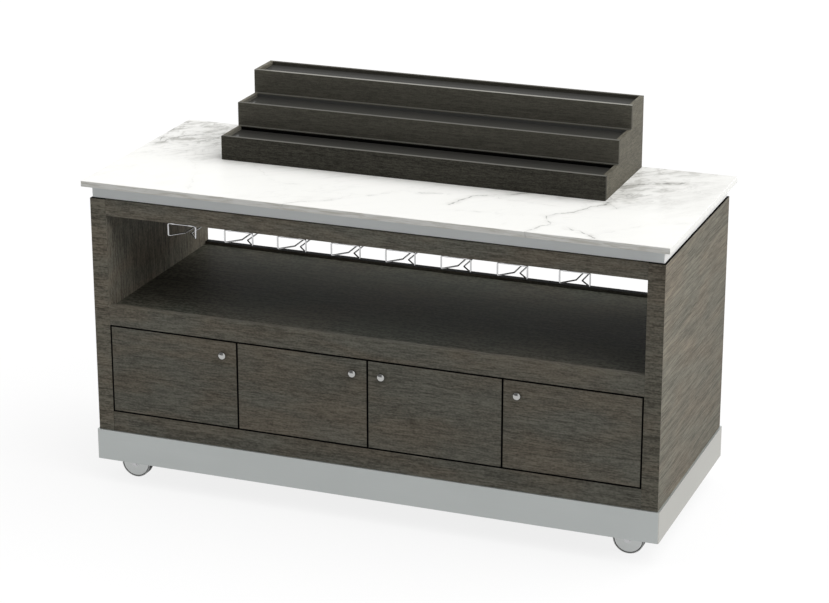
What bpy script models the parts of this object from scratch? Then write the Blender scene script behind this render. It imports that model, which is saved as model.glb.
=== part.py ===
"""Portable bar on casters, with a stone top, a pass-through bay and a bottle riser.

Metres, +Z up. The origin is on the floor under the middle of the top.
X runs along the bar and the doors face -Y, where the bartender stands.
"""
import math

import bmesh
import bpy
from mathutils import Matrix, Vector

# Joints between touching pieces
FIT = 0.0003

# Stone top, the deck under it and the metal band round the deck
TOP_LENGTH = 1.830
TOP_DEPTH = 0.750
COUNTER_HEIGHT = 0.983
STONE_THICKNESS = 0.018
OVERHANG_ENDS = 0.017
OVERHANG_FRONT = 0.023
DECK_THICKNESS = 0.0395
TRIM_RECESS = 0.005
TRIM_THICKNESS = 0.002
TRIM_REVEAL = 0.0025

# Cabinet
BODY_BOTTOM = 0.177
SIDE_THICKNESS = 0.051
RAIL_THICKNESS = 0.022
PANEL_THICKNESS = 0.018
TOP_RAIL_HEIGHT = 0.051
BAY_HEIGHT = 0.2865
MIDDLE_RAIL_HEIGHT = 0.063
BOTTOM_RAIL_HEIGHT = 0.064
CEILING_DROP = 0.007
FLOOR_DROP = 0.009
CUPBOARD_LIP = 0.010
PARTITION_SETBACK = 0.004
EDGE_EASE = 0.0003

# Doors, their knobs and their pivot pins
DOOR_COUNT = 4
DOOR_HINGES = (-1, -1, 1, 1)
DOOR_THICKNESS = 0.0195
DOOR_GAP = 0.004
PIVOT_INSET = 0.011
PIVOT_RADIUS = 0.004
PIVOT_DEPTH_DOOR = 0.018
PIVOT_DEPTH_RAIL = 0.012
COLLAR_RADIUS = 0.007
KNOB_INSET = 0.044
KNOB_RADIUS = 0.0128
KNOB_REACH = 0.0165
KNOB_DOME = 0.0085
KNOB_SCREW_RADIUS = 0.002

# Stemware racks, each bent from one wire
RACK_WIRE_RADIUS = 0.00225
RACK_MOUTH = 0.091
RACK_CHANNEL = 0.018
RACK_FUNNEL = 0.043
RACK_DEPTH = 0.330
RACK_SETBACK = 0.014
RACK_DROP = 0.0415
RACK_BEND = 0.006
RACK_COUNT = 8
RACK_MARGIN = 0.230
RACK_END_EXTRA = 0.015
RACK_SHIFT = 0.006
TAB_SIZE = (0.012, 0.018, 0.002)

# Base frame, skirt and casters
BASE_BOARD = 0.025
SKIRT_PROUD = 0.006
SKIRT_SHEET = 0.003
SKIRT_BOTTOM = 0.079
CORNER_RADIUS = 0.004
WHEEL_RADIUS = 0.048
WHEEL_WIDTH = 0.028
WHEEL_SIDES = 24
TREAD_DEPTH = 0.005
HUB_WIDTH = 0.034
HUB_RADIUS = 0.0108
AXLE_RADIUS = 0.006
AXLE_NUT_RADIUS = 0.0075
FORK_END_RADIUS = 0.011
CASTER_TRAIL = 0.030
CASTER_HEIGHT = 0.128
CASTER_INSET_X = 0.142
CASTER_INSET_Y = 0.105
CASTER_SHIFT = -0.0095
CASTER_BOARD = 0.126
PLATE_SIZE = (0.100, 0.080, 0.003)
CROWN_RADIUS = 0.027
CROWN_THICKNESS = 0.004
FORK_SHEET = 0.003
KINGPIN_RADIUS = 0.005
SWIVEL_PLAY = 0.0004

# Bottle riser
RISER_LENGTH = 1.234
RISER_BACK_MARGIN = 0.007
TIER_DEPTH = 0.127
TIER_HEIGHT = 0.075
TIER_COUNT = 3
RISER_BOARD = 0.012
TREAD_THICKNESS = 0.010
TREAD_RECESS = 0.010
LEDGE = 0.006

# Levels and planes that follow from the sizes above
STONE_BOTTOM = COUNTER_HEIGHT - STONE_THICKNESS
BODY_TOP = STONE_BOTTOM - DECK_THICKNESS
BODY_X = TOP_LENGTH / 2 - OVERHANG_ENDS
BODY_Y = TOP_DEPTH / 2 - OVERHANG_FRONT
INNER_X = BODY_X - SIDE_THICKNESS
INNER_Y = BODY_Y - RAIL_THICKNESS
BAY_TOP = BODY_TOP - TOP_RAIL_HEIGHT
BAY_BOTTOM = BAY_TOP - BAY_HEIGHT
OPENING_TOP = BAY_BOTTOM - MIDDLE_RAIL_HEIGHT
OPENING_BOTTOM = BODY_BOTTOM + BOTTOM_RAIL_HEIGHT
CEILING = BAY_TOP - CEILING_DROP
SHELF_TOP = BAY_BOTTOM - FLOOR_DROP
CUPBOARD_FLOOR = OPENING_BOTTOM - CUPBOARD_LIP
BASE_TOP = CUPBOARD_FLOOR - PANEL_THICKNESS
DOOR_TOP = OPENING_TOP - DOOR_GAP
DOOR_BOTTOM = OPENING_BOTTOM + DOOR_GAP
DOOR_WIDTH = (2 * INNER_X - (DOOR_COUNT + 1) * DOOR_GAP) / DOOR_COUNT
DOOR_PITCH = DOOR_WIDTH + DOOR_GAP
DOOR_MIDDLE_Y = -BODY_Y + DOOR_THICKNESS / 2
SKIRT_X = BODY_X + SKIRT_PROUD
SKIRT_Y = BODY_Y + SKIRT_PROUD
RACK_PITCH = 2 * (INNER_X - RACK_MARGIN - RACK_END_EXTRA) / (RACK_COUNT - 1)
CASTER_X = TOP_LENGTH / 2 - CASTER_INSET_X
CASTER_Y = TOP_DEPTH / 2 - CASTER_INSET_Y


def clear_scene():
    """Empties the file without closing it."""
    for item in list(bpy.data.objects):
        bpy.data.objects.remove(item, do_unlink=True)


def make_collection(name):
    collection = bpy.data.collections.new(name)
    bpy.context.scene.collection.children.link(collection)
    return collection


def make_material(name, colour, roughness, metallic=0.0):
    material = bpy.data.materials.new(name)
    material.use_nodes = True
    material.diffuse_color = (*colour, 1.0)
    shader = material.node_tree.nodes["Principled BSDF"]
    shader.inputs["Base Color"].default_value = (*colour, 1.0)
    shader.inputs["Roughness"].default_value = roughness
    shader.inputs["Metallic"].default_value = metallic
    return material


def add_object(name, mesh, material, location=(0, 0, 0), parent=None):
    item = bpy.data.objects.new(name, mesh)
    item.location = location
    item.parent = parent
    PARTS.objects.link(item)
    if not mesh.materials:
        mesh.materials.append(material)
    return item


def add_axis(name, location, turn=0.0, parent=None):
    """An empty on a joint's axis, which carries the pieces that move with it."""
    axis = bpy.data.objects.new(name, None)
    axis.empty_display_size = 0.03
    axis.location = location
    axis.rotation_euler = (0, 0, turn)
    axis.parent = parent
    PARTS.objects.link(axis)
    return axis


def add_cutter(name, mesh, location=(0, 0, 0), parent=None):
    cutter = bpy.data.objects.new(name, mesh)
    cutter.location = location
    cutter.parent = parent
    cutter.hide_render = True
    cutter.display_type = 'WIRE'
    CUTTERS.objects.link(cutter)
    return cutter


def combine(item, other, operation):
    modifier = item.modifiers.new(operation.title(), 'BOOLEAN')
    modifier.operation = operation
    modifier.solver = 'EXACT'
    modifier.object = other


def ease_edges(item, width=EDGE_EASE, segments=1):
    modifier = item.modifiers.new("Ease", 'BEVEL')
    modifier.width = width
    modifier.segments = segments
    modifier.limit_method = 'ANGLE'
    modifier.angle_limit = math.radians(40)


def shade_round(mesh, angle=35):
    mesh.shade_smooth()
    mesh.set_sharp_from_angle(angle=math.radians(angle))


def box_mesh(name, x, y, z):
    """A box from its lower and upper limit along each axis."""
    size = Vector((x[1] - x[0], y[1] - y[0], z[1] - z[0]))
    centre = Vector((x[0] + x[1], y[0] + y[1], z[0] + z[1])) / 2
    place = Matrix.Translation(centre) @ Matrix.Diagonal((*size, 1.0))
    shape = bmesh.new()
    bmesh.ops.create_cube(shape, size=1.0, matrix=place)
    mesh = bpy.data.meshes.new(name)
    shape.to_mesh(mesh)
    shape.free()
    return mesh


def rods_mesh(name, rods, steps=12):
    """Cylinders in one mesh. Each rod is its centre, its radius, its length and its axis, X, Y or Z."""
    turns = {'X': Matrix.Rotation(math.pi / 2, 4, 'Y'), 'Y': Matrix.Rotation(math.pi / 2, 4, 'X'),
             'Z': Matrix.Identity(4)}
    shape = bmesh.new()
    for centre, radius, length, axis in rods:
        place = Matrix.Translation(centre) @ turns[axis]
        bmesh.ops.create_cone(shape, cap_ends=True, segments=steps, radius1=radius, radius2=radius,
                              depth=length, matrix=place)
    mesh = bpy.data.meshes.new(name)
    shape.to_mesh(mesh)
    shape.free()
    return mesh


def profile_mesh(name, points, closed=False):
    """A turned shape's section in the XZ plane, listed from the top down its outer side."""
    shape = bmesh.new()
    corners = [shape.verts.new((radius, 0, height)) for radius, height in points]
    for start, end in zip(corners, corners[1:]):
        shape.edges.new((start, end))
    if closed:
        shape.edges.new((corners[-1], corners[0]))
    mesh = bpy.data.meshes.new(name)
    shape.to_mesh(mesh)
    shape.free()
    return mesh


def turn_profile(item, steps):
    modifier = item.modifiers.new("Turn", 'SCREW')
    modifier.axis = 'Z'
    modifier.angle = math.tau
    modifier.steps = steps
    modifier.render_steps = steps
    modifier.use_merge_vertices = True
    modifier.merge_threshold = 0.00001
    modifier.use_smooth_shade = True


def finished_mesh(item, name):
    """The mesh that an object's modifiers give, for copies that share it."""
    bpy.context.view_layer.update()
    shown = item.evaluated_get(bpy.context.evaluated_depsgraph_get())
    mesh = bpy.data.meshes.new_from_object(shown)
    mesh.name = name
    return mesh


def curve_mesh(curve, name):
    """A curve's mesh, with its loose caps welded on."""
    holder = bpy.data.objects.new(name + "_curve", curve)
    CUTTERS.objects.link(holder)
    mesh = finished_mesh(holder, name)
    bpy.data.objects.remove(holder, do_unlink=True)
    shape = bmesh.new()
    shape.from_mesh(mesh)
    bmesh.ops.remove_doubles(shape, verts=shape.verts, dist=0.00001)
    bmesh.ops.recalc_face_normals(shape, faces=shape.faces)
    shape.to_mesh(mesh)
    shape.free()
    return mesh


def outline_mesh(name, points, thickness):
    """A flat outline in XY, extruded evenly to both sides of it along Z."""
    curve = bpy.data.curves.new(name, 'CURVE')
    curve.dimensions = '2D'
    curve.fill_mode = 'BOTH'
    curve.extrude = thickness / 2
    spline = curve.splines.new('POLY')
    spline.points.add(len(points) - 1)
    for corner, (x, y) in zip(spline.points, points):
        corner.co = (x, y, 0, 1)
    spline.use_cyclic_u = True
    return curve_mesh(curve, name)


def wire_mesh(name, points, radius):
    """A round wire along a closed line of points."""
    curve = bpy.data.curves.new(name, 'CURVE')
    curve.dimensions = '3D'
    curve.bevel_depth = radius
    curve.bevel_resolution = 1
    spline = curve.splines.new('POLY')
    spline.points.add(len(points) - 1)
    for corner, point in zip(spline.points, points):
        corner.co = (*point, 1)
    spline.use_cyclic_u = True
    return curve_mesh(curve, name)


def arc(centre, radius, start, end, steps):
    """Points on a circle between two angles in degrees."""
    angles = [math.radians(start + (end - start) * step / steps) for step in range(steps + 1)]
    return [(centre[0] + radius * math.cos(a), centre[1] + radius * math.sin(a)) for a in angles]


def rounded_line(corners, radius):
    """A closed line through corners bent at the radius, a slight bend in one step."""
    line = []
    count = len(corners)
    for index in range(count):
        corner = Vector(corners[index])
        before = (Vector(corners[index - 1]) - corner).normalized()
        after = (Vector(corners[(index + 1) % count]) - corner).normalized()
        opening = before.angle(after)
        steps = 2 if opening < math.radians(120) else 1
        reach = radius / math.tan(opening / 2)
        start = corner + before * reach
        end = corner + after * reach
        for step in range(steps + 1):
            share = step / steps
            line.append((1 - share) ** 2 * start + 2 * share * (1 - share) * corner + share ** 2 * end)
    return line


def add_panel(name, x, y, z, material, ease=True):
    """A straight board, its origin at its centre."""
    centre = [sum(limits) / 2 for limits in (x, y, z)]
    limits = [(low - middle, high - middle) for (low, high), middle in zip((x, y, z), centre)]
    item = add_object(name, box_mesh(name, *limits), material, centre)
    if ease:
        ease_edges(item)
    return item


def round_uprights(mesh, radius):
    """Rounds a box's four upright edges."""
    shape = bmesh.new()
    shape.from_mesh(mesh)
    uprights = [edge for edge in shape.edges if abs(edge.verts[0].co.z - edge.verts[1].co.z) > 0.001]
    bmesh.ops.bevel(shape, geom=uprights, offset=radius, segments=3, profile=0.5, affect='EDGES',
                    material=-1)
    shape.to_mesh(mesh)
    shape.free()


def add_ring(name, outer, wall, z, material):
    """A band of sheet metal round a rectangle, from its outer half length and half depth."""
    length, depth = outer
    item = add_panel(name, (-length, length), (-depth, depth), z, material, ease=False)
    round_uprights(item.data, CORNER_RADIUS)
    inside = box_mesh(name + "_inside", (wall - length, length - wall), (wall - depth, depth - wall),
                      (z[0] - 0.01, z[1] + 0.01))
    combine(item, add_cutter(name + "_inside", inside), 'DIFFERENCE')
    return item


def build_top():
    half_x = TOP_LENGTH / 2
    half_y = TOP_DEPTH / 2
    stone = add_panel("stone_top", (-half_x, half_x), (-half_y, half_y), (STONE_BOTTOM, COUNTER_HEIGHT),
                      STONE, ease=False)
    ease_edges(stone, 0.0012, 2)
    trim_x = BODY_X - TRIM_RECESS
    trim_y = BODY_Y - TRIM_RECESS
    deck_x = trim_x - TRIM_THICKNESS - FIT
    deck_y = trim_y - TRIM_THICKNESS - FIT
    deck_z = (BODY_TOP + FIT, STONE_BOTTOM - FIT)
    add_panel("sub_top", (-deck_x, deck_x), (-deck_y, deck_y), deck_z, DARK_WOOD, ease=False)
    add_ring("trim_band", (trim_x, trim_y), TRIM_THICKNESS,
             (BODY_TOP + TRIM_REVEAL, STONE_BOTTOM - FIT), ALUMINIUM)


def pin_holes(name, doors, level, depth):
    """Cutter for the pivot pins' holes in a rail, one for each door."""
    rods = [((door["pivot_x"], DOOR_MIDDLE_Y, level), PIVOT_RADIUS + FIT, 2 * depth, 'Z') for door in doors]
    return add_cutter(name, rods_mesh(name, rods))


def build_cabinet(doors):
    inner_x = (FIT - INNER_X, INNER_X - FIT)
    front = (-BODY_Y, -INNER_Y)
    rear = (INNER_Y, BODY_Y)
    between = (FIT - INNER_Y, INNER_Y - FIT)
    body_z = (BODY_BOTTOM, BODY_TOP)
    add_panel("side_left", (-BODY_X, -INNER_X), (-BODY_Y, BODY_Y), body_z, LAMINATE)
    add_panel("side_right", (INNER_X, BODY_X), (-BODY_Y, BODY_Y), body_z, LAMINATE)

    add_panel("front_top_rail", inner_x, front, (BAY_TOP, BODY_TOP), LAMINATE)
    middle = add_panel("front_middle_rail", inner_x, front, (OPENING_TOP, BAY_BOTTOM), LAMINATE)
    bottom = add_panel("front_bottom_rail", inner_x, front, (BODY_BOTTOM, OPENING_BOTTOM), LAMINATE)
    depth = PIVOT_DEPTH_RAIL + FIT
    combine(middle, pin_holes("middle_rail_holes", doors, OPENING_TOP, depth), 'DIFFERENCE')
    combine(bottom, pin_holes("bottom_rail_holes", doors, OPENING_BOTTOM, depth), 'DIFFERENCE')
    add_panel("rear_top_rail", inner_x, rear, (BAY_TOP, BODY_TOP), LAMINATE)
    add_panel("rear_panel", inner_x, rear, (BODY_BOTTOM, BAY_BOTTOM), LAMINATE)

    shelf_bottom = SHELF_TOP - PANEL_THICKNESS
    add_panel("ceiling_panel", inner_x, between, (CEILING, CEILING + PANEL_THICKNESS), LAMINATE)
    add_panel("bay_shelf", inner_x, between, (shelf_bottom, SHELF_TOP), LAMINATE)
    add_panel("floor_panel", inner_x, between, (BASE_TOP, CUPBOARD_FLOOR), LAMINATE)
    partition_y = (PARTITION_SETBACK - INNER_Y, INNER_Y - FIT)
    for name, side in (("partition_left", -1), ("partition_right", 1)):
        centre = side * DOOR_PITCH
        add_panel(name, (centre - PANEL_THICKNESS / 2, centre + PANEL_THICKNESS / 2), partition_y,
                  (CUPBOARD_FLOOR + FIT, shelf_bottom - FIT), LAMINATE)


def plan_doors():
    """Edges, pivot and knob place of each door, from left to right."""
    doors = []
    for index, side in enumerate(DOOR_HINGES):
        left = -INNER_X + DOOR_GAP + index * DOOR_PITCH
        hinge_edge = left if side < 0 else left + DOOR_WIDTH
        pivot_x = hinge_edge - side * PIVOT_INSET
        doors.append({"name": f"door_{index + 1}", "side": side, "pivot_x": pivot_x})
    return doors


def pivot_profile():
    """Section of a pivot pin. Zero is the door's edge, and up goes into the rail."""
    collar = DOOR_GAP - 2 * FIT
    return [(0, DOOR_GAP + PIVOT_DEPTH_RAIL), (PIVOT_RADIUS - 0.001, DOOR_GAP + PIVOT_DEPTH_RAIL),
            (PIVOT_RADIUS, DOOR_GAP + PIVOT_DEPTH_RAIL - 0.001), (PIVOT_RADIUS, FIT + collar),
            (COLLAR_RADIUS, FIT + collar), (COLLAR_RADIUS, FIT), (PIVOT_RADIUS, FIT),
            (PIVOT_RADIUS, FIT - PIVOT_DEPTH_DOOR), (0, FIT - PIVOT_DEPTH_DOOR)]


def knob_profile():
    """Section of a domed knob and its screw. Zero is the door's face, and up is away from it."""
    rim = KNOB_REACH - KNOB_DOME
    back = -DOOR_THICKNESS
    radius = KNOB_RADIUS
    screw = KNOB_SCREW_RADIUS
    turns = [math.radians(15 * step) for step in range(6)]
    dome = [(radius * math.sin(turn), rim + KNOB_DOME * math.cos(turn)) for turn in turns]
    neck = [(radius, rim), (radius, rim - 0.0012), (radius * 0.86, rim - 0.0028),
            (radius * 0.45, rim - 0.0038), (radius * 0.41, 0.0018), (radius * 0.55, FIT)]
    shank = [(screw, FIT), (screw, back - FIT), (2.2 * screw, back - FIT), (2.2 * screw, back - 0.0024),
             (0, back - 0.0024)]
    return dome + neck + shank


def build_doors(doors):
    half_height = (DOOR_TOP - DOOR_BOTTOM) / 2
    middle_z = (DOOR_TOP + DOOR_BOTTOM) / 2
    knob_z = DOOR_TOP - KNOB_INSET - middle_z
    half_thick = DOOR_THICKNESS / 2
    pin_turned = None
    knob_turned = None
    for door in doors:
        name = door["name"]
        side = door["side"]
        axis = add_axis(name + "_axis", (door["pivot_x"], DOOR_MIDDLE_Y, middle_z))
        edges = sorted((side * PIVOT_INSET, side * (PIVOT_INSET - DOOR_WIDTH)))
        board = box_mesh(name, edges, (-half_thick, half_thick), (-half_height, half_height))
        leaf = add_object(name, board, LAMINATE, parent=axis)
        ease_edges(leaf)
        knob_x = side * (PIVOT_INSET - DOOR_WIDTH + KNOB_INSET)
        holes = [((0, 0, half_height), PIVOT_RADIUS + FIT, 2 * PIVOT_DEPTH_DOOR, 'Z'),
                 ((0, 0, -half_height), PIVOT_RADIUS + FIT, 2 * PIVOT_DEPTH_DOOR, 'Z'),
                 ((knob_x, 0, knob_z), KNOB_SCREW_RADIUS + FIT, 2 * DOOR_THICKNESS, 'Y')]
        drill = add_cutter(name + "_holes", rods_mesh(name + "_holes", holes), parent=axis)
        combine(leaf, drill, 'DIFFERENCE')

        if pin_turned is None:
            pin_turned = profile_mesh("pivot_pin", pivot_profile())
            knob_turned = profile_mesh("knob", knob_profile())
        top = add_object(name + "_pivot_top", pin_turned, STEEL, (0, 0, half_height), axis)
        bottom = add_object(name + "_pivot_bottom", pin_turned, STEEL, (0, 0, -half_height), axis)
        bottom.rotation_euler = (math.pi, 0, 0)
        knob_place = (knob_x, -half_thick, knob_z)
        knob = add_object(name.replace("door", "knob"), knob_turned, NICKEL, knob_place, axis)
        knob.rotation_euler = (math.pi / 2, 0, 0)
        turn_profile(top, 12)
        turn_profile(bottom, 12)
        turn_profile(knob, 16)


def rack_line():
    """Line of a rack's wire: front hoop, down, through the funnel, along the channel, up, across."""
    mouth = RACK_MOUTH / 2
    slot = RACK_CHANNEL / 2
    corners = [(-mouth, 0, 0), (mouth, 0, 0), (mouth, 0, -RACK_DROP), (slot, RACK_FUNNEL, -RACK_DROP),
               (slot, RACK_DEPTH, -RACK_DROP), (slot, RACK_DEPTH, 0), (-slot, RACK_DEPTH, 0),
               (-slot, RACK_DEPTH, -RACK_DROP), (-slot, RACK_FUNNEL, -RACK_DROP), (-mouth, 0, -RACK_DROP)]
    return rounded_line(corners, RACK_BEND)


def rack_tabs(owner):
    """Three screwed tabs that hold the wire to the ceiling, two on the front hoop and one at the back."""
    width, length, thick = TAB_SIZE
    high = RACK_WIRE_RADIUS + thick - 0.0008
    places = [(-RACK_MOUTH * 0.3, -0.003, length - 0.003), (RACK_MOUTH * 0.3, -0.003, length - 0.003),
              (0, RACK_DEPTH - length + 0.003, RACK_DEPTH + 0.003)]
    for index, (x, start, end) in enumerate(places):
        tab = box_mesh(f"rack_tab_{index}", (x - width / 2, x + width / 2), (start, end),
                       (high - thick, high))
        combine(owner, add_cutter(f"rack_tab_{index}", tab), 'UNION')
        middle = (start + end) / 2 + (0.0035 if index < 2 else -0.0035)
        head = rods_mesh(f"rack_screw_{index}", [((x, middle, high - thick), 0.0035, 0.003, 'Z')], 8)
        combine(owner, add_cutter(f"rack_screw_{index}", head), 'UNION')


def build_racks():
    """Eight alike racks in a row, whose wires hang under the bay's ceiling."""
    pattern = add_cutter("rack_pattern", wire_mesh("rack_pattern", rack_line(), RACK_WIRE_RADIUS))
    rack_tabs(pattern)
    shared = finished_mesh(pattern, "stemware_rack")
    shade_round(shared)
    hang = CEILING - FIT - (RACK_WIRE_RADIUS + TAB_SIZE[2] - 0.0008)
    for index in range(RACK_COUNT):
        step = index - (RACK_COUNT - 1) / 2
        outermost = index in (0, RACK_COUNT - 1)
        centre = RACK_SHIFT + step * RACK_PITCH + (math.copysign(RACK_END_EXTRA, step) if outermost else 0)
        add_object(f"stemware_rack_{index + 1}", shared, CHROME, (centre, -INNER_Y + RACK_SETBACK, hang))


def build_base():
    """Board frame under the floor, with a board across it for each pair of casters."""
    x = INNER_X - FIT
    y = INNER_Y - FIT
    low = CASTER_HEIGHT + FIT
    joint = low + BASE_BOARD
    top = BASE_TOP - FIT
    frame = add_panel("base_frame", (-x, x), (-y, BASE_BOARD - y), (joint, top), DARK_WOOD, ease=False)
    pieces = [((-x, x), (y - BASE_BOARD, y), (joint, top)),
              ((-x, BASE_BOARD - x), (-y, y), (joint, top)),
              ((x - BASE_BOARD, x), (-y, y), (joint, top))]
    for side in (-1, 1):
        rib = side * DOOR_PITCH
        pad = CASTER_SHIFT + side * CASTER_X
        pieces.append(((rib - BASE_BOARD / 2, rib + BASE_BOARD / 2), (-y, y), (joint, top)))
        pieces.append(((pad - CASTER_BOARD / 2, pad + CASTER_BOARD / 2), (-y, y), (low, joint + 0.002)))
    for index, (px, py, pz) in enumerate(pieces):
        board = add_cutter(f"base_board_{index}", box_mesh(f"base_board_{index}", px, py, pz))
        combine(frame, board, 'UNION')


def build_skirt():
    """Sheet band that hangs from a flange under the cabinet and hides the casters' mountings."""
    top = BODY_BOTTOM - FIT
    skirt = add_panel("base_skirt", (-SKIRT_X, SKIRT_X), (-SKIRT_Y, SKIRT_Y), (SKIRT_BOTTOM, top), BRUSHED,
                      ease=False)
    round_uprights(skirt.data, CORNER_RADIUS)
    wall_x = SKIRT_X - SKIRT_SHEET
    wall_y = SKIRT_Y - SKIRT_SHEET
    hollow = box_mesh("skirt_hollow", (-wall_x, wall_x), (-wall_y, wall_y),
                      (SKIRT_BOTTOM - 0.01, top - SKIRT_SHEET))
    opening = box_mesh("skirt_opening", (-INNER_X, INNER_X), (-INNER_Y, INNER_Y),
                       (top - 0.02, top + 0.01))
    combine(skirt, add_cutter("skirt_hollow", hollow), 'DIFFERENCE')
    combine(skirt, add_cutter("skirt_opening", opening), 'DIFFERENCE')


def plate_pattern():
    """Caster top plate with its race, its king pin and the four bolt heads."""
    length, depth, thick = PLATE_SIZE
    blank = box_mesh("plate_pattern", (-length / 2, length / 2), (-depth / 2, depth / 2),
                     (CASTER_HEIGHT - thick, CASTER_HEIGHT))
    plate = add_cutter("plate_pattern", blank)
    crown_top = WHEEL_RADIUS * 2 + 0.004 + CROWN_THICKNESS
    race = crown_top + SWIVEL_PLAY
    crown_bottom = crown_top - CROWN_THICKNESS
    head = crown_bottom - SWIVEL_PLAY
    inside = CASTER_HEIGHT - thick / 2
    section = [(0, inside), (CROWN_RADIUS - 0.006, inside), (CROWN_RADIUS - 0.001, race + 0.006),
               (CROWN_RADIUS - 0.001, race), (KINGPIN_RADIUS, race), (KINGPIN_RADIUS, head),
               (KINGPIN_RADIUS + 0.004, head), (KINGPIN_RADIUS + 0.003, head - 0.003), (0, head - 0.003)]
    race_part = add_cutter("plate_race", profile_mesh("plate_race", section))
    turn_profile(race_part, 16)
    combine(plate, race_part, 'UNION')
    bolt_x = length / 2 - 0.011
    bolt_y = depth / 2 - 0.011
    bolt_z = CASTER_HEIGHT - thick - 0.0015
    bolts = [((sx * bolt_x, sy * bolt_y, bolt_z), 0.0065, 0.006, 'Z') for sx in (-1, 1) for sy in (-1, 1)]
    combine(plate, add_cutter("plate_bolts", rods_mesh("plate_bolts", bolts, 6)), 'UNION')
    return finished_mesh(plate, "caster_plate")


def fork_pattern():
    """Caster fork: crown, two slanting legs and the axle between them. The wheel trails along +X."""
    crown_bottom = WHEEL_RADIUS * 2 + 0.004
    crown_top = crown_bottom + CROWN_THICKNESS
    middle = (crown_bottom + crown_top) / 2
    crown = rods_mesh("fork_pattern", [((0, 0, middle), CROWN_RADIUS, CROWN_THICKNESS, 'Z')], 20)
    fork = add_cutter("fork_pattern", crown)
    leg_top = middle
    leg = [(-0.016, leg_top), (-0.017, leg_top - 0.010)]
    leg += arc((CASTER_TRAIL, WHEEL_RADIUS), FORK_END_RADIUS, 205, 380, 5)
    leg += [(0.0165, leg_top - 0.006), (0.016, leg_top)]
    inner = HUB_WIDTH / 2 + 0.001
    for index, side in enumerate((-1, 1)):
        blade = outline_mesh(f"fork_leg_{index}", leg, FORK_SHEET)
        aside = Matrix.Translation((0, side * (inner + FORK_SHEET / 2), 0))
        blade.transform(aside @ Matrix.Rotation(math.pi / 2, 4, 'X'))
        combine(fork, add_cutter(f"fork_leg_{index}", blade), 'UNION')
    outside = inner + FORK_SHEET
    axle = [((CASTER_TRAIL, 0, WHEEL_RADIUS), AXLE_RADIUS, 2 * outside + 0.002, 'Y')]
    nut_y = outside + 0.002
    nut_place = [(CASTER_TRAIL, side * nut_y, WHEEL_RADIUS) for side in (-1, 1)]
    heads = [(place, AXLE_NUT_RADIUS, 0.005, 'Y') for place in nut_place]
    combine(fork, add_cutter("fork_axle", rods_mesh("fork_axle", axle, 16)), 'UNION')
    combine(fork, add_cutter("fork_nuts", rods_mesh("fork_nuts", heads, 6)), 'UNION')
    pin_hole = [((0, 0, middle), KINGPIN_RADIUS + SWIVEL_PLAY, 4 * CROWN_THICKNESS, 'Z')]
    combine(fork, add_cutter("fork_pin_hole", rods_mesh("fork_pin_hole", pin_hole, 16)), 'DIFFERENCE')
    return finished_mesh(fork, "caster_fork")


def wheel_section():
    """Closed section of a wheel round its axle, from the bore out over hub, flat disc and tread.

    The tread's radius is widened so that the flats of the turned shape lie on the true circle.
    """
    hub = HUB_WIDTH / 2 - FIT
    disc = WHEEL_WIDTH / 2
    tread = WHEEL_RADIUS / math.cos(math.pi / WHEEL_SIDES)
    seam = tread - TREAD_DEPTH
    half = [(AXLE_RADIUS + FIT, hub), (HUB_RADIUS, hub), (HUB_RADIUS + 0.001, disc), (seam - 0.001, disc),
            (seam, disc - 0.0015), (seam + 0.001, disc - 0.0005), (tread - 0.0015, disc - 0.0015),
            (tread, disc - 0.004)]
    return half + [(radius, -height) for radius, height in reversed(half)]


def build_casters():
    plate_shared = plate_pattern()
    fork_shared = fork_pattern()
    wheel_shared = profile_mesh("caster_wheel", wheel_section(), closed=True)
    corners = (("front_left", -1, -1), ("front_right", 1, -1), ("rear_left", -1, 1), ("rear_right", 1, 1))
    for corner, side_x, side_y in corners:
        place = (CASTER_SHIFT + side_x * CASTER_X, side_y * CASTER_Y, 0)
        turn = 0.0 if side_x > 0 else math.pi
        add_object(f"caster_{corner}_plate", plate_shared, STEEL, place)
        swivel = add_axis(f"caster_{corner}_swivel", place, turn)
        add_object(f"caster_{corner}_fork", fork_shared, STEEL, parent=swivel)
        axle = (CASTER_TRAIL, 0, WHEEL_RADIUS)
        wheel = add_object(f"caster_{corner}_wheel", wheel_shared, WHEEL, axle, swivel)
        wheel.rotation_euler = (math.pi / 2, math.pi / WHEEL_SIDES, 0)
        turn_profile(wheel, WHEEL_SIDES)


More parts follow.
